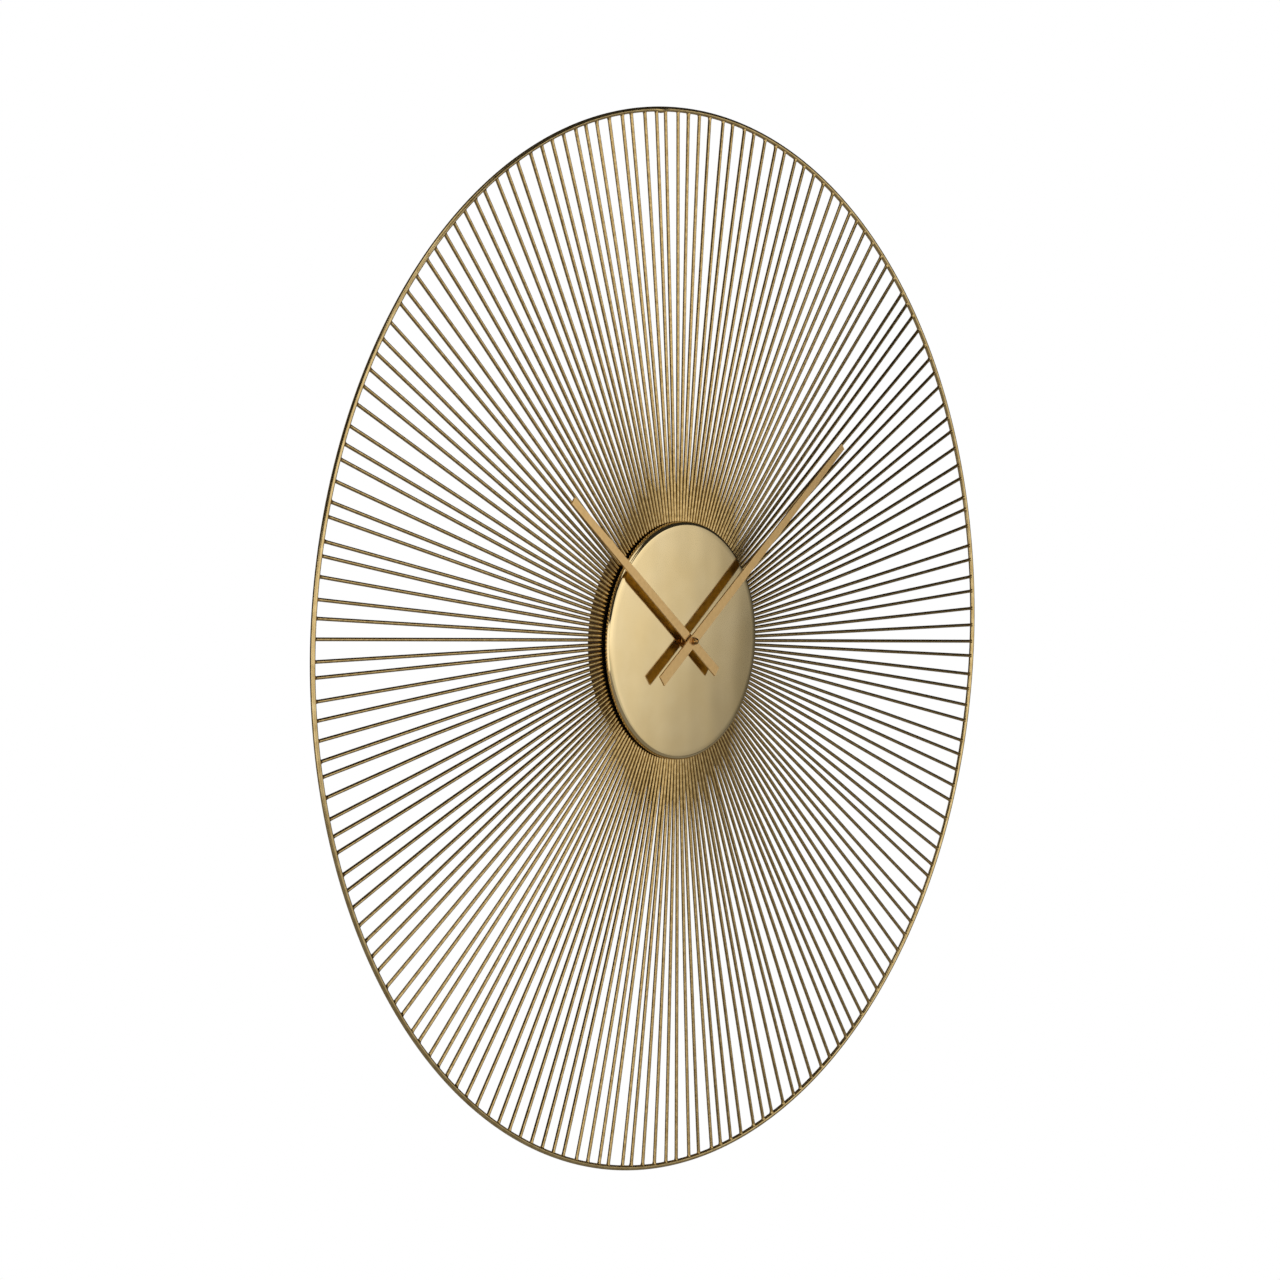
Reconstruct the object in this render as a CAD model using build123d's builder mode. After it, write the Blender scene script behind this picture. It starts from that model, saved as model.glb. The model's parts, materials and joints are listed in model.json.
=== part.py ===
"""Sunburst wall clock with a battery movement, in millimetres.

+Z is up, towards twelve o'clock. The clock faces -Y and hangs on a wall in the plane y = 0, and the
origin is where the hands' axis meets that wall. A height is a distance forward of the wall, so a
height of 19 is the plane y = -19. Angles on the dial run clockwise from twelve, as on any clock.
"""

from build123d import *
from math import cos, floor, radians, sin
import os

# ---- outer ring and wires ----
ring_radius = 500.0          # outside of the hoop
rod = 4.8                    # the hoop's round rod
wire = 3.3                   # the rays' round wire
wire_height = 19.0           # the plane of hoop and rays
wire_count = 182
sectors = 14                 # the rays are welded up in this many groups
wires_per_sector = wire_count // sectors
outer_wander = 0.29          # most that a ray's outer end strays, in degrees
inner_wander = 0.04          # most that its inner end strays, in degrees
weld_depth = 0.16             # how far a ray's end sinks into the round rod
inner_ring_outer = 101.0
inner_ring_inner = 91.0

# ---- drum and disc ----
sheet = 1.2
drum_radius = 112.0
drum_front = wire_height - wire / 2
drum_corner = 3.0
lip_inner = 98.0             # the lip that lies against the wall
disc_radius = 112.6
disc_face = 29.0
disc_back_edge = 23.0
disc_corner = 4.3
centre_hole = 4.2
spacer_radius = 8.0

# ---- frame screws and posts ----
post_radius = 4.0
post_circle = 80.0
post_count = 4
ring_screw_circle = 96.0
ring_screw_count = 6
screw_radius = 2.0
screw_clearance = 0.1
screw_head = 3.5
screw_head_height = 2.2
post_screw_reach = 7.0
slot_width = 0.9
slot_depth = 0.8

# ---- hanger ----
hanger_thickness = 2.0
hanger_width = 44.0
hanger_low = 78.0
hanger_high = 107.0
hanger_corner = 4.0
hanging_hole = 4.5
hanging_hole_z = 88.0
rivet_radius = 1.6
rivet_head = 2.8
rivet_dome = 1.3             # how far a rivet's head stands out
rivet_x = 14.0
rivet_z = 102.5

# ---- movement case ----
case_side = 56.0
case_depth = 15.4
case_wall = 1.2
case_corner = 4.0
room_corner = 1.0
room_low = -10.3             # bottom of the room for the wheels
bay_high = -11.5             # top of the battery bay
bay_depth = 14.8
cover_thickness = 1.5
cover_gap = 0.05
post_x = 24.9
case_post_z = (24.3, -8.0)
case_post = 1.6
plate_back = 2.2             # rear face of the train plate
plate_front = 3.2
plate_gap = 0.6
case_screw = 0.8
case_screw_head = 1.5
case_screw_seat = 0.8        # height on which the screws' heads rest
case_screw_front = 7.5
knob_opening = 5.0

# ---- battery bay: places along X, and radii ----
battery_radius = 7.1
battery_rear = -24.4
battery_shoulder = 24.2
battery_front = 25.6
battery_button = 2.6
contact_place = 26.2
contact_thickness = 0.4
contact_width = 11.0
contact_height = 12.0
dimple_foot = 3.6
dimple_tip = 1.8

# ---- circuit board, chip and quartz can ----
board_back = 13.2
board_middle = (17.7, 8.0)
board_width = 10.4
board_length = 32.0
chip_place = (17.5, 16.0)
chip_outline = ((0, 13.2), (3.0, 13.2), (2.7, 12.6), (1.8, 12.2), (0, 12.0))
can_radius = 1.0
can_length = 6.0
can_x = 16.0

# ---- stepping motor ----
coil_x = -20.5
coil_height = 7.8
coil_low = -5.0
coil_high = 16.0
coil_core = (3.2, 1.0)       # the stator's leg, across X and along the height
bobbin_tube = (5.0, 3.0)
bobbin_flange = (9.0, 9.0)
flange_thickness = 1.0
winding = (8.2, 8.2)
stator_layer = (7.4, 8.2)
stator_width = 3.0
stator_low = -9.3            # lowest and highest edges of the stator's legs
stator_high = 21.5
stator_leg_x = -11.0
stator_leg_high = 17.0
stator_eye = 5.5
rotor_hole = 3.1
magnet_radius = 2.6

# ---- centre of the clock, from the outside in ----
bush_radius = 4.0
bush_bore = 2.6
bush_flange = 6.5
bush_back = 13.2
bush_front = 32.7
washer_bore = 4.1
rubber_radius = 10.0
washer_radius = 6.5
washer_thickness = 0.5
nut_flats = 5.5              # from the axis to a flat
nut_thickness = 2.2
pipe_radius = 2.55
pipe_bore = 1.6
pipe_front = 36.3
arbor_radius = 1.55
arbor_front = 39.0
thread_radius = 1.25         # the arbor's thread for the dome nut
thread_front = 41.0
rear_arbor = 1.0
pivot = 0.35
running_gap = 0.04
train_arbor = 0.5
arbor_shoulders = (3.5, 13.9)
pivot_front = 14.8
pivot_room = 0.1             # end play at each pivot

# ---- hands ----
hand_thickness = 1.4
hand_edge = 0.25
hour_back = 34.0
hour_length = 220.0
hour_tail = 51.0
hour_tail_width = 10.2
hour_tip_width = 7.6
hour_angle = -51.8
minute_back = 36.8
minute_length = 300.0
minute_tail = 59.0
minute_tail_width = 11.4
minute_tip_width = 7.2
minute_angle = 53.0
hour_collet = 3.6
hour_flange = 4.6
hour_collet_layer = (33.0, 36.0)
minute_collet = 2.9
minute_flange = 4.0
minute_collet_layer = (36.6, 39.0)
ball_radius = 3.3
ball_height = 40.2

# ---- wheels: teeth, module, and the shafts' places as seen from the front ----
cannon_teeth, minute_wheel_teeth, motion_module = 12, 36, 0.375
motion_pinion_teeth, hour_wheel_teeth, hour_module = 10, 40, 0.36
centre_teeth, third_pinion_teeth, centre_module = 64, 8, 0.23
third_teeth, second_pinion_teeth, third_module = 60, 8, 0.20
second_teeth, middle_pinion_teeth, second_module = 50, 10, 0.23
middle_teeth, rotor_teeth, middle_module = 60, 10, 0.20
wheel_addendum = 0.9         # in modules
pinion_addendum = 0.75
dedendum = 1.35
knob_teeth, knob_module = 28, 0.32

# ---- the wheels' layers, each from its rear height to its front height ----
knob_layer = (0.3, 1.9)
knob_seat = 0.8              # where the minute wheel's arbor ends inside the knob
rotor_layer = (3.6, 5.0)
middle_layer = (3.9, 4.6)
middle_pinion_layer = (4.5, 6.2)
second_layer = (5.1, 5.9)
second_pinion_layer = (5.8, 7.9)
third_layer = (6.8, 7.6)
third_pinion_layer = (7.5, 9.7)
magnet_layer = (6.8, 8.8)
centre_layer = (8.6, 9.4)
centre_boss_layer = (8.0, 9.8)
centre_boss = 2.2
cannon_layer = (10.0, 11.7)
minute_wheel_layer = (10.2, 11.2)
motion_pinion_layer = (11.1, 13.3)
hour_wheel_layer = (12.0, 13.0)

def facing(height):
    """Plane parallel to the dial, at a height in front of the wall, looking at the viewer."""
    return Plane.XZ.offset(height)


def dial_point(radius, angle, height):
    """Point at a clock angle."""
    return Vector(radius * sin(radians(angle)), -height, radius * cos(radians(angle)))


def step_from(start, distance, angle):
    """Place a shaft at a distance from another, at an angle counter-clockwise from +X."""
    return (start[0] + distance * cos(radians(angle)), start[1] + distance * sin(radians(angle)))


def post(radius, low, high, places=((0, 0),), mode=Mode.ADD):
    """Round posts (or holes) along the hands' axis, between two heights, at (x, z) places."""
    with BuildSketch(facing(low)) as section:
        with Locations(*places):
            Circle(radius)
    extrude(section.sketch, amount=high - low, mode=mode)


def turned(outline, place=(0, 0)):
    """Turn an outline of (radius, height) corners about a shaft at (x, z)."""
    with BuildSketch(Plane((place[0], 0, place[1]), x_dir=(1, 0, 0), z_dir=(0, 0, 1))) as section:
        with BuildLine():
            Polyline(*[(radius, -height) for radius, height in outline], close=True)
        make_face()
    revolve(section.sketch, axis=Axis((place[0], 0, place[1]), (0, 1, 0)))


def pressed(middle, radius):
    """Turn a bent sheet about the hands' axis, from the (radius, height) corners of its middle line."""
    with BuildSketch(Plane.XY) as section:
        with BuildLine():
            FilletPolyline(*[(distance, -height) for distance, height in middle], radius=radius)
        trace(line_width=sheet)
    revolve(section.sketch, axis=Axis.Y)


def gear(teeth, module, addendum, phase, layer, place=(0, 0)):
    """Toothed wheel with radial flanks below its pitch circle and rounded tips above it."""
    pitch_radius = module * teeth / 2
    flank = (
        (pitch_radius - dedendum * module, 0.20),
        (pitch_radius, 0.20),
        (pitch_radius + 0.55 * addendum * module, 0.145),
        (pitch_radius + addendum * module, 0.06),
    )
    corners = []
    for tooth in range(teeth):
        rising = [(radius, tooth - half) for radius, half in flank]
        falling = [(radius, tooth + half) for radius, half in reversed(flank)]
        for radius, turn in rising + falling:
            corners.append(step_from(place, radius, phase + turn * 360 / teeth))
    with BuildSketch(facing(layer[0])) as section:
        with BuildLine():
            Polyline(*corners, close=True)
        make_face()
    extrude(section.sketch, amount=layer[1] - layer[0])


def meshed(direction, phase, teeth, mate_teeth):
    """Phase of a wheel that meshes with another, in the direction from the other to it."""
    into_tooth = (direction - phase) * teeth / 360
    return direction + 180 - (0.5 - into_tooth) * 360 / mate_teeth


def shaft(place):
    """Train arbor with a thin pivot at each end."""
    rear = plate_back + pivot_room
    shoulder_rear, shoulder_front = arbor_shoulders
    turned(((0, rear), (pivot, rear), (pivot, shoulder_rear), (train_arbor, shoulder_rear),
            (train_arbor, shoulder_front), (pivot, shoulder_front), (pivot, pivot_front), (0, pivot_front)),
           place)


def wander(number, seed):
    """Repeatable scatter between -1 and 1."""
    value = sin(number * 12.9898 + seed) * 43758.5453
    return 2 * (value - floor(value)) - 1


def save(piece, name):
    """Label a finished piece and write it."""
    piece.part.label = name
    export_step(piece.part, f"parts/{name}.step")


os.makedirs("parts", exist_ok=True)

# ---- outer ring, inner ring and the rays between them ----
with BuildPart(facing(wire_height)) as outer_ring:
    Torus(ring_radius - rod / 2, rod / 2)
save(outer_ring, "outer_ring")

with BuildPart() as inner_ring:
    with BuildSketch(facing(drum_front)):
        Circle(inner_ring_outer)
        Circle(inner_ring_inner, mode=Mode.SUBTRACT)
        with PolarLocations(ring_screw_circle, ring_screw_count):
            Circle(screw_radius, mode=Mode.SUBTRACT)
    extrude(amount=wire)
save(inner_ring, "inner_ring")

foot_radius = inner_ring_outer
tip_radius = ring_radius - rod + weld_depth
for sector in range(sectors):
    with BuildPart() as spokes:
        for number in range(sector * wires_per_sector, (sector + 1) * wires_per_sector):
            middle = number * 360 / wire_count
            foot = dial_point(foot_radius, middle + inner_wander * wander(number, 1.0), wire_height)
            tip = dial_point(tip_radius, middle + outer_wander * wander(number, 2.0), wire_height)
            with BuildSketch(Plane(origin=foot, z_dir=tip - foot)):
                Circle(wire / 2)
        extrude(amount=tip_radius - foot_radius)
    save(spokes, f"spokes_{sector + 1:02d}")

# ---- back drum: a pressed cup with a lip against the wall ----
centre = (0, 0)
post_places = [step_from(centre, post_circle, 45 + 90 * n) for n in range(post_count)]
ring_screw_places = [step_from(centre, ring_screw_circle, 60 * n) for n in range(ring_screw_count)]
rivet_places = [(-rivet_x, rivet_z), (rivet_x, rivet_z)]

with BuildPart() as back_drum:
    wall_middle = drum_radius - sheet / 2
    pressed(((lip_inner, sheet / 2), (wall_middle, sheet / 2), (wall_middle, drum_front - sheet / 2),
             (centre_hole, drum_front - sheet / 2)), drum_corner - sheet / 2)
    post(screw_radius + screw_clearance, drum_front - sheet, drum_front, post_places + ring_screw_places,
         Mode.SUBTRACT)
    post(rivet_radius, 0, sheet, rivet_places, Mode.SUBTRACT)
save(back_drum, "back_drum")

# ---- front disc: a shallow pressed pan ----
with BuildPart() as front_disc:
    pressed(((centre_hole, disc_face - sheet / 2), (disc_radius - sheet / 2, disc_face - sheet / 2),
             (disc_radius - sheet / 2, disc_back_edge)), disc_corner - sheet / 2)
save(front_disc, "front_disc")

# ---- posts, screws and spacer between drum and disc ----
disc_back = disc_face - sheet
with BuildPart() as disc_posts:
    post(post_radius, drum_front, disc_back, post_places)
    post(screw_radius, drum_front, drum_front + post_screw_reach, post_places, Mode.SUBTRACT)
save(disc_posts, "disc_posts")


def frame_screws(places, reach):
    """Slotted screws with their heads inside the drum, reaching a distance in front of it."""
    seat = drum_front - sheet
    post(screw_head, seat - screw_head_height, seat, places)
    post(screw_radius, seat, drum_front + reach, places)
    with BuildSketch(facing(seat - screw_head_height)) as slots:
        with Locations(*places):
            Rectangle(2 * screw_head, slot_width)
    extrude(slots.sketch, amount=slot_depth, mode=Mode.SUBTRACT)


with BuildPart() as disc_screws:
    frame_screws(post_places, post_screw_reach)
save(disc_screws, "disc_screws")

with BuildPart() as ring_screws:
    frame_screws(ring_screw_places, wire)
save(ring_screws, "ring_screws")

with BuildPart() as centre_spacer:
    spacer_bore = centre_hole + screw_clearance
    turned(((spacer_bore, drum_front), (spacer_radius, drum_front), (spacer_radius, disc_back),
            (spacer_bore, disc_back)))
save(centre_spacer, "centre_spacer")

# ---- hanger plate inside the drum's lip ----
with BuildPart() as hanger_plate:
    with BuildSketch(facing(sheet)):
        with Locations((0, (hanger_low + hanger_high) / 2)):
            RectangleRounded(hanger_width, hanger_high - hanger_low, hanger_corner)
        with Locations((0, hanging_hole_z)):
            Circle(hanging_hole, mode=Mode.SUBTRACT)
        with Locations(*rivet_places):
            Circle(rivet_radius, mode=Mode.SUBTRACT)
    extrude(amount=hanger_thickness)
save(hanger_plate, "hanger_plate")

hanger_front = sheet + hanger_thickness
with BuildPart() as hanger_rivets:
    for place in rivet_places:
        turned(((0, 0), (rivet_radius, 0), (rivet_radius, hanger_front), (rivet_head, hanger_front),
                (0.75 * rivet_head, hanger_front + 0.7 * rivet_dome), (0, hanger_front + rivet_dome)), place)
save(hanger_rivets, "hanger_rivets")

# ---- where the shafts stand ----
def shaft_distance(module, teeth, mate_teeth):
    """Distance between the shafts of two wheels that mesh."""
    return module * (teeth + mate_teeth) / 2


motion_direction = 135
motion_distance = shaft_distance(motion_module, cannon_teeth, minute_wheel_teeth)
motion_place = step_from(centre, motion_distance, motion_direction)
third_direction = 20
third_distance = shaft_distance(centre_module, centre_teeth, third_pinion_teeth)
third_place = step_from(centre, third_distance, third_direction)
second_direction = 100
second_distance = shaft_distance(third_module, third_teeth, second_pinion_teeth)
second_place = step_from(third_place, second_distance, second_direction)
middle_direction = 150
middle_distance = shaft_distance(second_module, second_teeth, middle_pinion_teeth)
middle_place = step_from(second_place, middle_distance, middle_direction)
rotor_direction = 150
rotor_distance = shaft_distance(middle_module, middle_teeth, rotor_teeth)
rotor_place = step_from(middle_place, rotor_distance, rotor_direction)
train_places = [third_place, second_place, middle_place, rotor_place]
case_post_places = [(x, z) for x in (-post_x, post_x) for z in case_post_z]

# ---- movement case, open at the back, with a room for the wheels and a battery bay ----
inside = case_side - 2 * case_wall
room_high = inside / 2
room_size = room_high - room_low
room_middle = (room_low + room_high) / 2
room_front = case_depth - case_wall
with BuildPart() as movement_case:
    with BuildSketch(facing(0)):
        RectangleRounded(case_side, case_side, case_corner)
    extrude(amount=case_depth)
    with BuildSketch(facing(0)):
        with Locations((0, room_middle)):
            RectangleRounded(inside, room_size, room_corner)
    extrude(amount=room_front, mode=Mode.SUBTRACT)
    with BuildSketch(facing(0)):
        with Locations((0, (bay_high - inside / 2) / 2)):
            RectangleRounded(inside, bay_high + inside / 2, room_corner)
    extrude(amount=bay_depth, mode=Mode.SUBTRACT)
    post(case_post, plate_front, room_front, case_post_places)
    post(case_screw, plate_front, case_screw_front + 0.5, case_post_places, Mode.SUBTRACT)
    post(bush_radius + cover_gap, room_front, case_depth, (centre,), Mode.SUBTRACT)
    post(pivot + running_gap, room_front, pivot_front + pivot_room, train_places + [motion_place],
         Mode.SUBTRACT)
save(movement_case, "movement_case")

with BuildPart() as movement_cover:
    with BuildSketch(facing(0)):
        with Locations((0, room_middle)):
            RectangleRounded(inside - 2 * cover_gap, room_size - 2 * cover_gap, room_corner)
    extrude(amount=cover_thickness)
    post(case_post, cover_thickness, plate_back, case_post_places)
    post(case_screw, 0, plate_back, case_post_places, Mode.SUBTRACT)
    post(case_screw_head + cover_gap, 0, case_screw_seat, case_post_places, Mode.SUBTRACT)
    post(knob_opening, 0, cover_thickness, (motion_place,), Mode.SUBTRACT)
save(movement_cover, "movement_cover")

with BuildPart() as train_plate:
    with BuildSketch(facing(plate_back)):
        with Locations((0, room_middle)):
            RectangleRounded(inside - plate_gap, room_size - plate_gap, room_corner)
        with Locations(*case_post_places):
            Circle(case_screw, mode=Mode.SUBTRACT)
        with Locations(*train_places):
            Circle(pivot + running_gap, mode=Mode.SUBTRACT)
        with Locations(motion_place, centre):
            Circle(rear_arbor + running_gap, mode=Mode.SUBTRACT)
    extrude(amount=plate_front - plate_back)
save(train_plate, "train_plate")

with BuildPart() as case_screws:
    post(case_screw_head, 0.1, case_screw_seat, case_post_places)
    post(case_screw, case_screw_seat, case_screw_front, case_post_places)
    with BuildSketch(facing(0.1)):
        with Locations(*case_post_places):
            Rectangle(2 * case_screw_head, slot_width / 2)
    extrude(amount=slot_depth / 2, mode=Mode.SUBTRACT)
save(case_screws, "case_screws")

# ---- threaded bush, washers and nut that clamp movement, drum and disc ----
with BuildPart() as threaded_bush:
    turned(((bush_bore, bush_back), (bush_flange, bush_back), (bush_flange, room_front),
            (bush_radius, room_front), (bush_radius, bush_front - 0.4), (bush_radius - 0.4, bush_front),
            (bush_bore, bush_front)))
save(threaded_bush, "threaded_bush")

with BuildPart() as rubber_washer:
    turned(((washer_bore, case_depth), (rubber_radius, case_depth), (rubber_radius, drum_front - sheet),
            (washer_bore, drum_front - sheet)))
save(rubber_washer, "rubber_washer")

washer_front = disc_face + washer_thickness
with BuildPart() as centre_washer:
    turned(((washer_bore, disc_face), (washer_radius, disc_face), (washer_radius, washer_front),
            (washer_bore, washer_front)))
save(centre_washer, "centre_washer")

with BuildPart() as centre_nut:
    with BuildSketch(facing(washer_front)):
        RegularPolygon(radius=nut_flats, side_count=6, major_radius=False)
        Circle(bush_radius, mode=Mode.SUBTRACT)
    extrude(amount=nut_thickness)
    chamfer(centre_nut.faces().sort_by(Axis.Y)[0].outer_wire().edges(), 0.3)
save(centre_nut, "centre_nut")

# ---- battery and its contacts ----
battery_place = (-7.6, (bay_high - inside / 2) / 2)


def along_x(radius, start, end, place):
    """Round bar along X at a (y, z) place."""
    with BuildSketch(Plane.YZ.offset(start)) as section:
        with Locations(place):
            Circle(radius)
    extrude(section.sketch, amount=end - start)


def contact(side, reach):
    """Spring leaf at one end of the bay, with a dimple that reaches in to the battery."""
    with BuildSketch(Plane.YZ.offset(side * contact_place)) as leaf:
        with Locations(battery_place):
            RectangleRounded(contact_width, contact_height, 1.5)
    extrude(leaf.sketch, amount=side * contact_thickness)
    with BuildSketch(Plane.YZ.offset(side * contact_place)) as wide:
        with Locations(battery_place):
            Circle(dimple_foot)
    with BuildSketch(Plane.YZ.offset(side * reach)) as narrow:
        with Locations(battery_place):
            Circle(dimple_tip)
    loft(sections=[wide.sketch, narrow.sketch])


with BuildPart() as battery:
    along_x(battery_radius, battery_rear, battery_shoulder, battery_place)
    fillet(battery.edges().filter_by(GeomType.CIRCLE), 0.5)
    along_x(battery_button, battery_shoulder, battery_front, battery_place)
save(battery, "battery")

with BuildPart() as contact_positive:
    contact(1, battery_front)
save(contact_positive, "contact_positive")

with BuildPart() as contact_negative:
    contact(-1, -battery_rear)
save(contact_negative, "contact_negative")

# ---- circuit board with chip and quartz can ----
with BuildPart() as circuit_board:
    with BuildSketch(facing(board_back)):
        with Locations(board_middle):
            RectangleRounded(board_width, board_length, 0.8)
    extrude(amount=room_front - board_back)
save(circuit_board, "circuit_board")

with BuildPart() as chip:
    turned(chip_outline, chip_place)
save(chip, "chip")

with BuildPart() as quartz_can:
    with BuildSketch(Plane.XY.offset(-can_length)):
        with Locations((can_x, can_radius - board_back)):
            Circle(can_radius)
    extrude(amount=can_length)
    fillet(quartz_can.edges().filter_by(GeomType.CIRCLE), 0.25)
save(quartz_can, "quartz_can")

# ---- stepping motor: coil, stator and rotor ----
def coil_section(low, high, outside, hole):
    """Rectangular sleeve round the coil's core, between two Z levels."""
    with BuildSketch(Plane.XY.offset(low)) as section:
        with Locations((coil_x, -coil_height)):
            Rectangle(*outside)
            Rectangle(*hole, mode=Mode.SUBTRACT)
    extrude(section.sketch, amount=high - low)


with BuildPart() as coil_bobbin:
    coil_section(coil_low, coil_high, bobbin_tube, coil_core)
    for low in (coil_low, coil_high - flange_thickness):
        coil_section(low, low + flange_thickness, bobbin_flange, coil_core)
save(coil_bobbin, "coil_bobbin")

with BuildPart() as coil_winding:
    coil_section(coil_low + flange_thickness, coil_high - flange_thickness, winding, bobbin_tube)
    fillet(coil_winding.edges().filter_by(Axis.Z).group_by(SortBy.DISTANCE)[-1], 1.2)
save(coil_winding, "coil_winding")

half_leg = stator_width / 2
coil_leg = (coil_x - half_leg, stator_low, coil_x + half_leg, stator_high)
upper_leg = (coil_x - half_leg, stator_high - stator_width, rotor_place[0], stator_high)
lower_leg = (coil_x - half_leg, stator_low, stator_leg_x + half_leg, stator_low + stator_width)
inner_leg = (stator_leg_x - half_leg, stator_low, stator_leg_x + half_leg, stator_leg_high)
with BuildPart() as stator:
    with BuildSketch(facing(stator_layer[0])):
        for left, low, right, high in (coil_leg, upper_leg, lower_leg, inner_leg):
            with Locations(((left + right) / 2, (low + high) / 2)):
                Rectangle(right - left, high - low)
        with Locations(rotor_place):
            Circle(stator_eye)
            Circle(rotor_hole, mode=Mode.SUBTRACT)
    extrude(amount=stator_layer[1] - stator_layer[0])
save(stator, "stator")

middle_phase = 0
rotor_phase = meshed(rotor_direction, middle_phase, middle_teeth, rotor_teeth)
with BuildPart() as rotor:
    shaft(rotor_place)
    post(magnet_radius, *magnet_layer, (rotor_place,))
    gear(rotor_teeth, middle_module, pinion_addendum, rotor_phase, rotor_layer, rotor_place)
save(rotor, "rotor")

# ---- going train: each wheel is driven by the pinion before it ----
second_phase = meshed(middle_direction + 180, middle_phase, middle_pinion_teeth, second_teeth)
third_phase = meshed(second_direction + 180, second_phase, second_pinion_teeth, third_teeth)
centre_phase = meshed(third_direction + 180, third_phase, third_pinion_teeth, centre_teeth)

with BuildPart() as intermediate_wheel:
    shaft(middle_place)
    gear(middle_teeth, middle_module, wheel_addendum, middle_phase, middle_layer, middle_place)
    gear(middle_pinion_teeth, second_module, pinion_addendum, middle_phase, middle_pinion_layer, middle_place)
save(intermediate_wheel, "intermediate_wheel")

with BuildPart() as second_wheel:
    shaft(second_place)
    gear(second_teeth, second_module, wheel_addendum, second_phase, second_layer, second_place)
    gear(second_pinion_teeth, third_module, pinion_addendum, second_phase, second_pinion_layer, second_place)
save(second_wheel, "second_wheel")

with BuildPart() as third_wheel:
    shaft(third_place)
    gear(third_teeth, third_module, wheel_addendum, third_phase, third_layer, third_place)
    gear(third_pinion_teeth, centre_module, pinion_addendum, third_phase, third_pinion_layer, third_place)
save(third_wheel, "third_wheel")

with BuildPart() as centre_wheel:
    gear(centre_teeth, centre_module, wheel_addendum, centre_phase, centre_layer)
    post(centre_boss, *centre_boss_layer)
    post(rear_arbor + running_gap, *centre_boss_layer, mode=Mode.SUBTRACT)
save(centre_wheel, "centre_wheel")

# ---- motion work: cannon pinion, minute wheel, hour wheel ----
cannon_phase = 0
minute_wheel_phase = meshed(motion_direction, cannon_phase, cannon_teeth, minute_wheel_teeth)
hour_wheel_phase = meshed(motion_direction + 180, minute_wheel_phase, motion_pinion_teeth, hour_wheel_teeth)

with BuildPart() as centre_arbor:
    rear = plate_back - 0.2
    turned(((0, rear), (rear_arbor, rear), (rear_arbor, cannon_layer[0]), (arbor_radius, cannon_layer[0]),
            (arbor_radius, arbor_front), (thread_radius, arbor_front), (thread_radius, thread_front),
            (0, thread_front)))
    gear(cannon_teeth, motion_module, pinion_addendum, cannon_phase, cannon_layer)
save(centre_arbor, "centre_arbor")

with BuildPart() as minute_wheel:
    shoulder = arbor_shoulders[1]
    turned(((0, knob_seat), (rear_arbor, knob_seat), (rear_arbor, shoulder), (pivot, shoulder),
            (pivot, pivot_front), (0, pivot_front)), motion_place)
    gear(minute_wheel_teeth, motion_module, wheel_addendum, minute_wheel_phase, minute_wheel_layer,
         motion_place)
    gear(motion_pinion_teeth, hour_module, pinion_addendum, minute_wheel_phase, motion_pinion_layer,
         motion_place)
save(minute_wheel, "minute_wheel")

with BuildPart() as setting_knob:
    gear(knob_teeth, knob_module, pinion_addendum, 0, knob_layer, motion_place)
    post(rear_arbor, knob_seat, knob_layer[1], (motion_place,), Mode.SUBTRACT)
    with BuildSketch(facing(knob_layer[0])):
        with Locations(motion_place):
            Rectangle(6.0, slot_width)
    extrude(amount=slot_depth / 2, mode=Mode.SUBTRACT)
save(setting_knob, "setting_knob")

with BuildPart() as hour_wheel:
    gear(hour_wheel_teeth, hour_module, wheel_addendum, hour_wheel_phase, hour_wheel_layer)
    post(pipe_radius, hour_wheel_layer[0], pipe_front)
    post(pipe_bore, hour_wheel_layer[0], pipe_front, mode=Mode.SUBTRACT)
save(hour_wheel, "hour_wheel")


# ---- hands, collets and dome nut ----
def hand(back, angle, length, tail, tip_width, tail_width, hole):
    """Flat tapered bar with square-cut ends, pointing at a clock angle."""
    pointing = dial_point(1, angle + 90, 0)
    with BuildSketch(Plane(origin=(0, -back, 0), x_dir=pointing, z_dir=(0, -1, 0))) as section:
        with BuildLine():
            Polyline((-tip_width / 2, length), (tip_width / 2, length), (tail_width / 2, -tail),
                     (-tail_width / 2, -tail), close=True)
        bar = make_face()
        fillet(bar.vertices(), 0.5)
        Circle(hole, mode=Mode.SUBTRACT)
    extrude(section.sketch, amount=hand_thickness)


with BuildPart() as hour_hand:
    hand(hour_back, hour_angle, hour_length, hour_tail, hour_tip_width, hour_tail_width, hour_collet)
    chamfer(hour_hand.faces().sort_by(Axis.Y)[0].outer_wire().edges(), hand_edge)
save(hour_hand, "hour_hand")

with BuildPart() as minute_hand:
    hand(minute_back, minute_angle, minute_length, minute_tail, minute_tip_width, minute_tail_width,
         minute_collet)
    chamfer(minute_hand.faces().sort_by(Axis.Y)[0].outer_wire().edges(), hand_edge)
save(minute_hand, "minute_hand")

with BuildPart() as hour_hand_collet:
    rear, front = hour_collet_layer
    turned(((pipe_radius, rear), (hour_flange, rear), (hour_flange, hour_back), (hour_collet, hour_back),
            (hour_collet, front), (pipe_radius, front)))
save(hour_hand_collet, "hour_hand_collet")

minute_front = minute_back + hand_thickness
with BuildPart() as minute_hand_collet:
    rear, front = minute_collet_layer
    turned(((arbor_radius, rear), (minute_collet, rear), (minute_collet, minute_front),
            (minute_flange, minute_front), (minute_flange, front - 0.2), (minute_flange - 0.2, front),
            (arbor_radius, front)))
save(minute_hand_collet, "minute_hand_collet")

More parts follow.
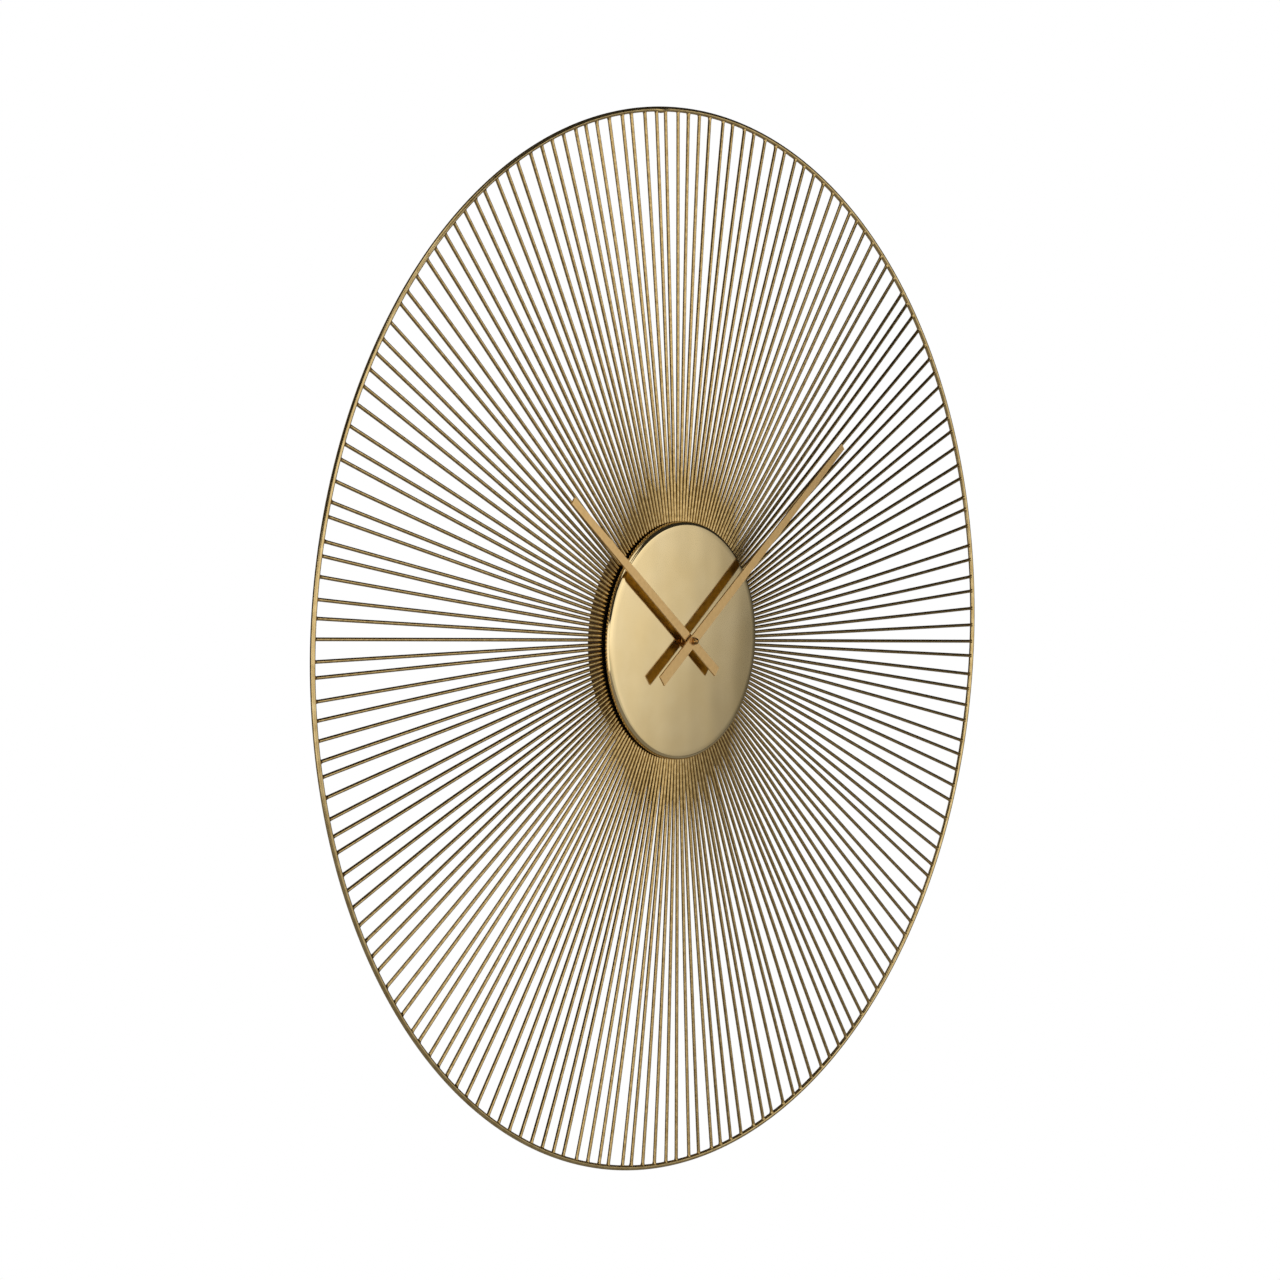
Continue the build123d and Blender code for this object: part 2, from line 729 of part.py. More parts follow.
with BuildPart(facing(ball_height)) as dome_nut:
    Sphere(ball_radius)
    post(2 * ball_radius, ball_height - ball_radius, arbor_front, mode=Mode.SUBTRACT)
    post(thread_radius, arbor_front, thread_front + 0.2, mode=Mode.SUBTRACT)
save(dome_nut, "dome_nut")
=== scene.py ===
# %% [markdown]
# # A sunburst wall clock
#
# This clock is a thin round hoop held out by straight wires that run to the middle like rays. A
# smooth disc of champagne brass hides the wires' inner ends, and two flat bar hands turn in front of
# it. The CAD model already holds every part at its real size. This script gives the parts their
# finish, and makes the few shapes again that need a smoother or more hand-made surface than a CAD
# mesh has: the hoop, the rays with their welds, and the disc.

# %% Load the frame
import bpy
import json
from math import cos, floor, pi, radians, sin
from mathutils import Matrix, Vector


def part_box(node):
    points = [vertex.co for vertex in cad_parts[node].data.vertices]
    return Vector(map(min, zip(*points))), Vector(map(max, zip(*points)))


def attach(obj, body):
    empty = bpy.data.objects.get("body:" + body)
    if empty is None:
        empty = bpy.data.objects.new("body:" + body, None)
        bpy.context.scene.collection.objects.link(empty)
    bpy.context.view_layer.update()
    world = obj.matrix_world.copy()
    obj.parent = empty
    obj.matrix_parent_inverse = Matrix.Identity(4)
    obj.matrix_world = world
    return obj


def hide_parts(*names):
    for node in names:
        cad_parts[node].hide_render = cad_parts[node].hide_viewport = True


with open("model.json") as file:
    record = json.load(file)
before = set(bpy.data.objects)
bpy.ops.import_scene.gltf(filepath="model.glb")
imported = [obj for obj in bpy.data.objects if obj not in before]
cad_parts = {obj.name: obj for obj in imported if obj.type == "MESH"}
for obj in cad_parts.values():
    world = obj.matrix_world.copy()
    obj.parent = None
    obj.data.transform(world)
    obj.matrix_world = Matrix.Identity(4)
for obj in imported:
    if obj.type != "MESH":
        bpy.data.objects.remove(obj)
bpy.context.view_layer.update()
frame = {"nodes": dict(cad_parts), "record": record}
nodes = frame["nodes"]

# %% [markdown]
# ## Sizes from the frame
#
# Nothing here is measured twice. The hoop's radius and the thickness of its rod come from the hoop's
# own box, and so do the disc's radius and the height of its face. In this frame the clock faces -Y,
# so a height above the wall is a distance along -Y.

# %% Read the sizes
hoop_low, hoop_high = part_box("outer_ring")
rod_radius = (hoop_high[1] - hoop_low[1]) / 2
hoop_radius = hoop_high[0]
wire_plane = (hoop_high[1] + hoop_low[1]) / 2
disc_low, disc_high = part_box("front_disc")
disc_radius = disc_high[0]
disc_face = disc_low[1]
disc_edge_back = disc_high[1]
ray_low, ray_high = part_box("spokes_01")
wire_radius = (ray_high[1] - ray_low[1]) / 2
inner_ring_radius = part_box("inner_ring")[1][0]
print("hoop radius", hoop_radius, "rod radius", rod_radius, "wire radius", wire_radius)

# %% [markdown]
# ## Camera
#
# The camera stands to the clock's left, a little above its middle, and about three and a half metres
# away, so the round hoop shows as a tall ellipse. A long lens keeps the ellipse nearly the same
# width on both sides.

# %% Set up the camera
camera_azimuth = radians(-51.2)
camera_height = radians(3.68)
camera_distance = 3.586
look_at = Vector((-0.0567, wire_plane, 0.0031))
towards_camera = Vector((sin(camera_azimuth) * cos(camera_height),
                         -cos(camera_azimuth) * cos(camera_height),
                         sin(camera_height)))
camera = bpy.data.objects.new("camera", bpy.data.cameras.new("camera"))
bpy.context.collection.objects.link(camera)
camera.location = look_at + camera_distance * towards_camera
camera.rotation_mode = "QUATERNION"
camera.rotation_quaternion = (-towards_camera).to_track_quat("-Z", "Y")
camera.data.sensor_width = 36
camera.data.lens = 108.1
bpy.context.scene.camera = camera
print("camera at", tuple(round(value, 3) for value in camera.location))

# %% [markdown]
# ## Helpers for meshes
#
# Every shape that is made again here is a grid of points: rings of points along a wire, round a rod,
# or round the disc's outline. One helper turns such rings into a smooth mesh, so each piece below only
# has to say where its points lie.

# %% Make a mesh from rings of points
smooth_up_to = radians(40)


def mesh_from_rings(rings, close_ends=False, loop=False):
    """Skin rings that all have the same number of points. loop joins the last ring to the first."""
    count = len(rings[0])
    points = [point for ring in rings for point in ring]
    faces = []
    for ring in range(len(rings) if loop else len(rings) - 1):
        after = (ring + 1) % len(rings)
        for side in range(count):
            beside = (side + 1) % count
            faces.append((ring * count + side, ring * count + beside,
                          after * count + beside, after * count + side))
    if close_ends:
        faces.append(tuple(reversed(range(count))))
        faces.append(tuple(range((len(rings) - 1) * count, len(rings) * count)))
    return points, faces


def add_piece(name, points, faces, material, slot, body, replaced):
    """Make the mesh object, shade it smooth, hide the CAD part that it replaces, and hang it on its body."""
    mesh = bpy.data.meshes.new(name)
    mesh.from_pydata([tuple(point) for point in points], [], faces)
    mesh.validate()
    mesh.shade_smooth()
    mesh.set_sharp_from_angle(angle=smooth_up_to)
    mesh.materials.append(material)
    piece = bpy.data.objects.new(name, mesh)
    bpy.context.collection.objects.link(piece)
    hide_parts(replaced)
    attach(piece, body)
    print(name, len(mesh.vertices), "points")
    return piece


print("edges sharper than", round(smooth_up_to, 3), "radians stay sharp")

# %% [markdown]
# ## Helpers for finishes
#
# A real finish is never one flat colour. Each material here starts from a noise pattern at the size
# of the marks that the real surface has. The noise moves the colour between a dark and a light tone.
# A finer noise moves the roughness a little, and pushes the surface in and out through a bump.

# %% Start a material
def new_material(name):
    """An empty node material, its nodes and its shader."""
    material = bpy.data.materials.new(name)
    material.use_nodes = True
    return material, material.node_tree, material.node_tree.nodes["Principled BSDF"]


def place_node(tree, stretch=(1, 1, 1)):
    """Points in metres in the frame, stretched along each axis."""
    coordinates = tree.nodes.new("ShaderNodeTexCoord")
    mapping = tree.nodes.new("ShaderNodeMapping")
    mapping.inputs["Scale"].default_value = stretch
    tree.links.new(coordinates.outputs["Object"], mapping.inputs["Vector"])
    return mapping.outputs["Vector"]


print("materials are patterned in metres, so every pattern keeps its real size")

# %% Make noise, and turn it into tones and amounts
noise_low, noise_high = 0.3, 0.7


def noise(tree, vector, size, detail=3.0):
    """Noise whose blobs are about size metres across."""
    texture = tree.nodes.new("ShaderNodeTexNoise")
    texture.inputs["Scale"].default_value = 1 / size
    texture.inputs["Detail"].default_value = detail
    tree.links.new(vector, texture.inputs["Vector"])
    return texture.outputs["Fac"]


def tones(tree, value, stops):
    """A colour ramp from (place, colour) stops."""
    ramp = tree.nodes.new("ShaderNodeValToRGB")
    ramp.color_ramp.elements.remove(ramp.color_ramp.elements[1])
    ramp.color_ramp.elements[0].position = stops[0][0]
    ramp.color_ramp.elements[0].color = (*stops[0][1], 1)
    for position, colour in stops[1:]:
        ramp.color_ramp.elements.new(position).color = (*colour, 1)
    tree.links.new(value, ramp.inputs["Fac"])
    return ramp.outputs["Color"]


def mottle(tree, value, dark, light):
    """A colour that drifts from dark to light with the noise."""
    return tones(tree, value, [(noise_low, dark), (noise_high, light)])


def spread(tree, value, low, high):
    """An amount between low and high that follows the noise."""
    change = tree.nodes.new("ShaderNodeMapRange")
    change.inputs["From Min"].default_value = noise_low
    change.inputs["From Max"].default_value = noise_high
    change.inputs["To Min"].default_value = low
    change.inputs["To Max"].default_value = high
    tree.links.new(value, change.inputs["Value"])
    return change.outputs["Result"]


print("noise mostly lies between", noise_low, "and", noise_high)

# %% [markdown]
# One function then makes most of the finishes. It takes the two tones, the size of the patches in
# metres, and the least and the most roughness. Metals keep metallic at 1, and plastics set it to 0.

# %% Build a finish
def finish(name, dark, light, size, rough, metallic=1.0, stretch=(1, 1, 1), grain=0.0006, relief=0.00001,
           detail=3.0):
    """A surface mottled between two tones, with roughness between two values and a fine bump."""
    material, tree, shader = new_material(name)
    vector = place_node(tree, stretch)
    patches = noise(tree, vector, size, detail)
    fine = noise(tree, vector, grain, 2.0)
    tree.links.new(mottle(tree, patches, dark, light), shader.inputs["Base Color"])
    tree.links.new(spread(tree, fine, *rough), shader.inputs["Roughness"])
    shader.inputs["Metallic"].default_value = metallic
    bump = tree.nodes.new("ShaderNodeBump")
    bump.inputs["Distance"].default_value = relief
    tree.links.new(fine, bump.inputs["Height"])
    tree.links.new(bump.outputs["Normal"], shader.inputs["Normal"])
    print("finish", name)
    return material


# %% [markdown]
# ## Brass, bronze and gold
#
# The hoop and the rays are brass-plated and then toned, so the colour drifts from gold to brown over
# a few millimetres. The hoop is thicker and was polished more than the wires, so its tones are
# lighter and its patches larger. The hands are satin anodised, with a hair-fine grain. The drum is
# coloured a very dark bronze: painted shade, for the shadow that it sits in behind the disc and the wires.

# %% Mix the metals
wire_brass = finish("wire_brass", (0.37, 0.245, 0.085), (0.66, 0.47, 0.205), 0.004, (0.13, 0.22), detail=5.0)
hoop_brass = finish("hoop_brass", (0.52, 0.36, 0.14), (0.76, 0.57, 0.27), 0.009, (0.18, 0.30), detail=5.0)
hand_gold = finish("hand_gold", (0.80, 0.52, 0.215), (0.88, 0.585, 0.25), 0.004, (0.34, 0.42), grain=0.0004)
# The drum's very dark bronze is painted shade, for the shadow behind the disc and the wires.
drum_bronze = finish("drum_bronze", (0.095, 0.057, 0.025), (0.165, 0.104, 0.048), 0.02, (0.38, 0.52), 0.4)
collet_brass = finish("collet_brass", (0.50, 0.28, 0.10), (0.68, 0.42, 0.17), 0.003, (0.22, 0.32))
nut_bronze = finish("nut_bronze", (0.24, 0.12, 0.035), (0.42, 0.23, 0.07), 0.002, (0.10, 0.16))

# %% [markdown]
# Only the fronts of the hands are brushed and lacquered. Their backs are coloured in a darker, browner
# tone: painted shade, standing in for the shade on the sides that face the disc. The disc mirrors those
# shaded backs as dark amber bars. The backs are the faces that look along +Y, and they still do when the
# hands turn, so the surface's own direction picks them out.

# %% Paint shade on the backs of the hands
# Painted shade: these are the tones for the hands' backs, darker than the fronts because the backs face away
# from the light.
back_shade_dark = (0.30, 0.205, 0.045)
back_shade_light = (0.42, 0.29, 0.075)
back_shade_patch = 0.006
tree = hand_gold.node_tree
shader = tree.nodes["Principled BSDF"]
front_tone = shader.inputs["Base Color"].links[0].from_socket
painted_back_shade = mottle(tree, noise(tree, place_node(tree), back_shade_patch), back_shade_dark, back_shade_light)
coordinates = tree.nodes.new("ShaderNodeTexCoord")
direction = tree.nodes.new("ShaderNodeSeparateXYZ")
tree.links.new(coordinates.outputs["Normal"], direction.inputs["Vector"])
# Mask of the faces that get the painted shade: those that look along +Y.
shaded_back_mask = tree.nodes.new("ShaderNodeMath")
shaded_back_mask.operation = "GREATER_THAN"
shaded_back_mask.inputs[1].default_value = 0.5
tree.links.new(direction.outputs["Y"], shaded_back_mask.inputs[0])
front_or_shaded_back = tree.nodes.new("ShaderNodeMix")
front_or_shaded_back.data_type = "RGBA"
tree.links.new(shaded_back_mask.outputs["Value"], front_or_shaded_back.inputs["Factor"])
tree.links.new(front_tone, front_or_shaded_back.inputs["A"])
tree.links.new(painted_back_shade, front_or_shaded_back.inputs["B"])
tree.links.new(front_or_shaded_back.outputs["Result"], shader.inputs["Base Color"])
print("the hands' backs have tones", back_shade_dark, "to", back_shade_light)

# %% [markdown]
# ## Works behind the disc
#
# Only the back of the movement can be seen, from behind the clock: black moulded plastic with a
# spark-eroded texture, a small knob, a battery with a printed sleeve, and zinc-plated screws. The
# parts inside the case get the finish that they really have too, so the model can be opened up. The
# coil's noise is stretched along two axes, which turns its blobs into turns of copper wire.

# %% Mix plastics, steel, rubber and copper
black_plastic = finish("black_plastic", (0.012, 0.012, 0.013), (0.022, 0.022, 0.024), 0.001, (0.45, 0.62),
                       0.0, grain=0.0003, relief=0.00003)
white_plastic = finish("white_plastic", (0.70, 0.69, 0.64), (0.80, 0.79, 0.75), 0.004, (0.35, 0.45), 0.0)
zinc_steel = finish("zinc_steel", (0.42, 0.42, 0.40), (0.62, 0.62, 0.60), 0.003, (0.25, 0.42))
stator_steel = finish("stator_steel", (0.22, 0.22, 0.23), (0.36, 0.36, 0.37), 0.002, (0.35, 0.50))
washer_rubber = finish("washer_rubber", (0.012, 0.012, 0.012), (0.022, 0.021, 0.020), 0.002, (0.70, 0.85),
                       0.0)
copper_wire = finish("copper_wire", (0.45, 0.16, 0.06), (0.75, 0.32, 0.14), 0.0004, (0.25, 0.35),
                     stretch=(0.02, 0.02, 1.0))
board_green = finish("board_green", (0.010, 0.09, 0.035), (0.016, 0.14, 0.055), 0.002, (0.25, 0.35), 0.0)
chip_black = finish("chip_black", (0.010, 0.010, 0.010), (0.020, 0.020, 0.020), 0.001, (0.30, 0.40), 0.0)

# %% [markdown]
# The battery's sleeve is one ramp along its length: bare steel at both ends, a dark sleeve, and a
# copper-coloured band towards the positive end. The ramp doesn't blend between its stops, because a
# printed sleeve changes colour at a line. It carries no lettering.

# %% Paint the battery's sleeve
steel = (0.55, 0.55, 0.54)
sleeve = (0.018, 0.018, 0.020)
copper = (0.62, 0.27, 0.10)
sleeve_stops = [(0.0, steel), (0.02, sleeve), (0.68, copper), (0.96, steel)]
scuff_size = 0.002
sleeve_rough = (0.22, 0.34)
battery_low, battery_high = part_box("battery")
battery_jacket, tree, shader = new_material("battery_jacket")
along = tree.nodes.new("ShaderNodeSeparateXYZ")
tree.links.new(place_node(tree), along.inputs["Vector"])
from_end = tree.nodes.new("ShaderNodeMapRange")
from_end.inputs["From Min"].default_value = battery_low[0]
from_end.inputs["From Max"].default_value = battery_high[0]
tree.links.new(along.outputs["X"], from_end.inputs["Value"])
bands = tones(tree, from_end.outputs["Result"], sleeve_stops)
bands.node.color_ramp.interpolation = "CONSTANT"
tree.links.new(bands, shader.inputs["Base Color"])
scuffs = noise(tree, place_node(tree), scuff_size)
tree.links.new(spread(tree, scuffs, *sleeve_rough), shader.inputs["Roughness"])
shader.inputs["Metallic"].default_value = 0.7
print("battery", round(battery_high[0] - battery_low[0], 4), "metres long")

# %% [markdown]
# ## A finish for every CAD part
#
# The record that comes with the frame names a material slot for each part. Looking the finish up by
# that slot, and not part by part, means that no screw or wheel is forgotten.

# %% Give every CAD part its finish
finishes = {
    "antique_brass": wire_brass, "hand_gold": hand_gold, "drum_bronze": drum_bronze,
    "collet_brass": collet_brass, "nut_bronze": nut_bronze, "zinc_steel": zinc_steel,
    "stator_steel": stator_steel, "black_plastic": black_plastic, "white_plastic": white_plastic,
    "washer_rubber": washer_rubber, "copper_wire": copper_wire, "board_green": board_green,
    "chip_black": chip_black, "battery_jacket": battery_jacket,
}
slot_of = {part["node"]: part["material_slot"] for part in frame["record"]["subparts"]}
finished_parts = 0
for node, part in nodes.items():
    if slot_of[node] in finishes:
        finished_parts += 1
        for holder in part.material_slots:
            holder.material = finishes[slot_of[node]]
print("finishes given to", finished_parts, "of", len(nodes), "parts")

# %% [markdown]
# ## The hoop
#
# The hoop is one round rod, bent into a circle and butt-welded. A rod bent by hand shows its joint as
# a slight swelling, ground flush on the outside and left proud on the inside, so the rod's own circle
# grows there and moves inwards by the same amount. It is made again here because the CAD mesh of so
# large a ring shows its flats along the outline.

# %% Bend the hoop
joint_angle = -3.0
joint_length = 0.9
joint_swell = 0.0007
hoop_steps = 720
rod_sides = 24
forwards = Vector((0, 1, 0))
hoop_rings = []
for step in range(hoop_steps):
    angle = 360 * step / hoop_steps
    from_joint = (angle - joint_angle + 180) % 360 - 180
    swell = joint_swell * max(0.0, 1 - (from_joint / joint_length) ** 2)
    outward = Vector((sin(radians(angle)), 0, cos(radians(angle))))
    middle = outward * (hoop_radius - rod_radius - swell) + Vector((0, wire_plane, 0))
    ring = []
    for side in range(rod_sides):
        turn = 2 * pi * side / rod_sides
        ring.append(middle + (rod_radius + swell) * (cos(turn) * outward + sin(turn) * forwards))
    hoop_rings.append(ring)
add_piece("hoop", *mesh_from_rings(hoop_rings, loop=True), hoop_brass, "antique_brass", "clock",
          "outer_ring")

# %% [markdown]
# ## The rays
#
# Each ray is a straight length of wire, welded by hand between the inner ring and the hoop. The welds
# are what makes the clock look made and not printed: every wire lands a fraction of a degree off its
# even place, and ends in a small fillet that spreads along the hoop. A ray is a row of rings, and the
# last few grow wide along the hoop but stay thin across it. Their sizes differ from wire to wire.
#
# The scatter comes from a sine with a very large factor. It looks random, but it gives the same value
# for the same wire every time, so these wires land where the CAD wires do.

# %% Scatter, and places on the dial
wire_count = 182
sector_count = 14
outer_wander = 0.29
inner_wander = 0.04


def wander(number, seed):
    """Repeatable scatter between -1 and 1, the same one that places the wires in the CAD model."""
    value = sin(number * 12.9898 + seed) * 43758.5453
    return 2 * (value - floor(value)) - 1


def dial_point(radius, angle):
    """Point in the wires' plane at a clock angle in degrees."""
    return Vector((radius * sin(radians(angle)), wire_plane, radius * cos(radians(angle))))


print("wires stand", round(360 / wire_count, 3), "degrees apart, give or take", outer_wander)

# %% [markdown]
# A weld is described by a few stations, counted back from the wire's tip. At each one the wire has
# grown by a part of the weld's full width along the hoop, and by a smaller part across it.

# %% Draw one ray with its weld
wire_sides = 16
foot_sunk = 0.0002
tip_sunk = 0.0007
weld_long, weld_long_scatter = 0.0034, 0.0012
weld_wide, weld_wide_scatter = 0.0013, 0.0006
weld_lean = 0.0005
weld_stations = ((1.0, 0.0, 0.0), (0.6, 0.08, 0.02), (0.3, 0.28, 0.10), (0.1, 0.62, 0.22), (0.0, 1.0, 0.30))


def ray_rings(number):
    """Rings of points along one wire, from the inner ring to its weld on the hoop."""
    even = number * 360 / wire_count
    foot = dial_point(inner_ring_radius - foot_sunk, even + inner_wander * wander(number, 1.0))
    tip = dial_point(hoop_radius - 2 * rod_radius + tip_sunk, even + outer_wander * wander(number, 2.0))
    along = (tip - foot).normalized()
    beside = Vector((along[2], 0, -along[0]))
    weld_length = weld_long + weld_long_scatter * wander(number, 3.0)
    weld_width = weld_wide + weld_wide_scatter * wander(number, 4.0)
    lean = weld_lean * wander(number, 5.0)
    stations = [(foot, 0.0, 0.0, 0.0)]
    for back, wide, deep in weld_stations:
        stations.append((tip - along * weld_length * back, wide * weld_width, deep * weld_width, wide * lean))
    rings = []
    for middle, wide, deep, shift in stations:
        ring = []
        for side in range(wire_sides):
            turn = 2 * pi * side / wire_sides
            ring.append(middle + beside * (shift + (wire_radius + wide) * cos(turn))
                        + forwards * (wire_radius + deep) * sin(turn))
        rings.append(ring)
    return rings


print("a ray is", len(weld_stations) + 1, "rings of", wire_sides, "points")

# %% Weld up the rays, one sector at a time
wires_per_sector = wire_count // sector_count
for sector in range(sector_count):
    points, faces = [], []
    first = sector * wires_per_sector
    for number in range(first, first + wires_per_sector):
        ray_points, ray_faces = mesh_from_rings(ray_rings(number), close_ends=True)
        offset = len(points)
        points += ray_points
        faces += [tuple(offset + corner for corner in face) for face in ray_faces]
    add_piece(f"rays_{sector + 1:02d}", points, faces, wire_brass, "antique_brass", "clock",
              f"spokes_{sector + 1:02d}")

# %% [markdown]
# ## The disc's finish
#
# The disc is polished and then satin lacquered, which leaves a soft mirror: the hands show in it, a
# little blurred. The brass under the lacquer is pale, with slow clouds a few centimetres wide. A
# polished sheet is never quite flat either, so a broad, shallow ripple bends what it mirrors.

# %% Mix the champagne brass
cloud_size = 0.05
satin_size = 0.02
satin_rough = (0.10, 0.13)
ripple_size = 0.06
ripple_stretch = (1.0, 1.0, 0.7)
ripple_relief = 0.0006
champagne_brass, tree, shader = new_material("champagne_brass")
vector = place_node(tree)
clouds = noise(tree, vector, cloud_size, 3.0)
satin = noise(tree, vector, satin_size, 2.0)
tree.links.new(mottle(tree, clouds, (0.84, 0.64, 0.32), (0.90, 0.71, 0.39)), shader.inputs["Base Color"])
tree.links.new(spread(tree, satin, *satin_rough), shader.inputs["Roughness"])
shader.inputs["Metallic"].default_value = 1.0
ripple = tree.nodes.new("ShaderNodeBump")
ripple.inputs["Distance"].default_value = ripple_relief
ripple.inputs["Strength"].default_value = 0.6
tree.links.new(noise(tree, place_node(tree, ripple_stretch), ripple_size, 1.0), ripple.inputs["Height"])
tree.links.new(ripple.outputs["Normal"], shader.inputs["Normal"])
print("champagne brass with clouds", cloud_size, "and ripples", ripple_size, "metres wide")

# %% [markdown]
# ## The disc
#
# A disc pressed from sheet crowns a little towards its middle, here by just under a millimetre. That
# small crown is what spreads one soft light into a slow change of tone across the whole face. The
# outline is turned round the hands' axis: hole, crowned front face, a rim that rounds back over nearly
# all of its depth, a very short side wall, and then the same way back on the inside.

# %% Draw the disc's outline
sheet = 0.0012
crown = 0.0009
side_wall = 0.0005
edge_radius = 0.0043
edge_depth = disc_edge_back - disc_face - crown - side_wall
hole_radius = 0.0042
face_steps = 24
edge_steps = 12


def face_height(radius):
    """Y of the crowned front face at a radius."""
    return disc_face + crown * (radius / disc_radius) ** 2


edge_start = disc_radius - edge_radius
corner_y = face_height(edge_start)
face_radii = [hole_radius + (edge_start - hole_radius) * step / face_steps for step in range(face_steps + 1)]
edge_turns = [pi / 2 * step / edge_steps for step in range(1, edge_steps + 1)]
outline = [(radius, face_height(radius)) for radius in face_radii]
for turn in edge_turns:
    outline.append((edge_start + edge_radius * sin(turn), corner_y + edge_depth * (1 - cos(turn))))
outline.append((disc_radius, disc_edge_back))
outline.append((disc_radius - sheet, disc_edge_back))
for turn in reversed(edge_turns):
    outline.append((edge_start + (edge_radius - sheet) * sin(turn),
                    corner_y + edge_depth - (edge_depth - sheet) * cos(turn)))
for radius in reversed(face_radii):
    outline.append((radius, face_height(radius) + sheet))
print("the rim turns back over", round(edge_depth, 5), "metres")

# %% Turn the disc
disc_steps = 288
disc_rings = []
for radius, height in outline:
    ring = []
    for side in range(disc_steps):
        turn = 2 * pi * side / disc_steps
        ring.append(Vector((radius * cos(turn), height, radius * sin(turn))))
    disc_rings.append(ring)
add_piece("disc", *mesh_from_rings(disc_rings, loop=True), champagne_brass, "champagne_brass", "clock",
          "front_disc")

# %% [markdown]
# ## Studio cards
#
# Metal shows what stands round it, so a studio lights it with large glowing cards more than with
# lamps. A card can be brighter on one side than on the other. The front card fades towards the
# right, and that fade is what runs across the disc as a slow change from pale to dark.

# %% Make a glowing card
def glowing_sheet(name, middle, facing, width, height):
    """A flat sheet that the camera doesn't see, and its empty mesh material."""
    x, y = width / 2, height / 2
    mesh = bpy.data.meshes.new(name)
    mesh.from_pydata([(-x, -y, 0), (x, -y, 0), (x, y, 0), (-x, y, 0)], [], [(0, 1, 2, 3)])
    sheet_of_light = bpy.data.objects.new(name, mesh)
    bpy.context.collection.objects.link(sheet_of_light)
    sheet_of_light.location = middle
    sheet_of_light.rotation_mode = "QUATERNION"
    sheet_of_light.rotation_quaternion = Vector(facing).to_track_quat("Z", "Y")
    sheet_of_light.visible_camera = False
    material = bpy.data.materials.new(name)
    material.use_nodes = True
    mesh.materials.append(material)
    return material.node_tree


def fade_along(tree, axis, fade, full):
    """A level along a world axis. fade is (where it starts to fall, where it ends, how much is left)."""
    place = tree.nodes.new("ShaderNodeNewGeometry")
    parts = tree.nodes.new("ShaderNodeSeparateXYZ")
    tree.links.new(place.outputs["Position"], parts.inputs["Vector"])
    fall = tree.nodes.new("ShaderNodeMapRange")
    fall.interpolation_type = "SMOOTHSTEP"
    fall.inputs["From Min"].default_value = fade[0]
    fall.inputs["From Max"].default_value = fade[1]
    fall.inputs["To Min"].default_value = full
    fall.inputs["To Max"].default_value = full * fade[2]
    tree.links.new(parts.outputs[axis], fall.inputs["Value"])
    return fall.outputs["Result"]


def card(name, middle, facing, width, height, strength, across=None, upwards=None):
    """A glowing card. across and upwards come together, and each is a fade for fade_along."""
    tree = glowing_sheet(name, middle, facing, width, height)
    tree.nodes.remove(tree.nodes["Principled BSDF"])
    glow = tree.nodes.new("ShaderNodeEmission")
    tree.links.new(glow.outputs["Emission"], tree.nodes["Material Output"].inputs["Surface"])
    glow.inputs["Strength"].default_value = strength
    if across and upwards:
        product = tree.nodes.new("ShaderNodeMath")
        product.operation = "MULTIPLY"
        tree.links.new(fade_along(tree, "X", across, strength), product.inputs[0])
        tree.links.new(fade_along(tree, "Z", upwards, 1.0), product.inputs[1])
        tree.links.new(product.outputs["Value"], glow.inputs["Strength"])
    print(name, width, "by", height, "metres, strength", strength)


# %% [markdown]
# Five cards stand round the clock. The front card is what the disc mirrors. The left card runs back
# past the clock's side and draws the pale line along the disc's left rim. The upper and the top card
# light the upper sides of the wires. A weak card behind the clock keeps the wires from going black
# when the clock is seen from the back.

# %% Stand the cards round the clock
card("front_card", (0.4, -1.6, -0.25), (0, 1, 0), 4.8, 1.9, 1.15,
     across=(1.45, 2.75, 0.02), upwards=(0.1, -0.7, 0.5))
card("left_card", (-2.45, -0.45, -0.2), (1, 0.2, 0), 2.3, 1.8, 1.15)
card("upper_card", (-0.6, -1.6, 1.25), (0, 1, 0), 1.9, 1.1, 1.0)
card("top_card", (-0.6, -0.6, 2.1), (0.2, 0.2, -1), 1.3, 1.1, 1.0)
card("back_card", (0.3, 2.2, 0.9), (0, -1, -0.4), 2.6, 1.0, 0.4)

# %% [markdown]
# ## Soft lamps
#
# The floor, the lacquered drum and the black plastic hardly mirror the cards, so they need lamps.
# Three large soft lamps light them from above, from the front and from behind. The lamps stay out of
# reflections, so they leave the bare metals to the cards.

# %% Hang the soft lamps
def soft_lamp(name, place, size, watts):
    """A square lamp that points at the clock and doesn't show in anything shiny."""
    light = bpy.data.lights.new(name, "AREA")
    light.size = size
    light.energy = watts
    lamp = bpy.data.objects.new(name, light)
    bpy.context.collection.objects.link(lamp)
    lamp.location = place
    lamp.rotation_mode = "QUATERNION"
    lamp.rotation_quaternion = Vector(place).to_track_quat("Z", "Y")
    lamp.visible_camera = False
    lamp.visible_glossy = False
    print(name, watts, "W")


soft_lamp("lamp_above", (0, 0, 3.0), 3.0, 150)
soft_lamp("lamp_front", (-1.6, -2.6, 0.6), 2.0, 60)
soft_lamp("lamp_behind", (0.8, 2.8, 0.8), 2.0, 70)

# %% [markdown]
# ## Background
#
# The camera sees a plain white background. Everything else sees a room that is nearly dark above and
# dim below. That contrast gives each thin wire one bright side and one dark side, and without it the
# wires would look like flat strips of paint.

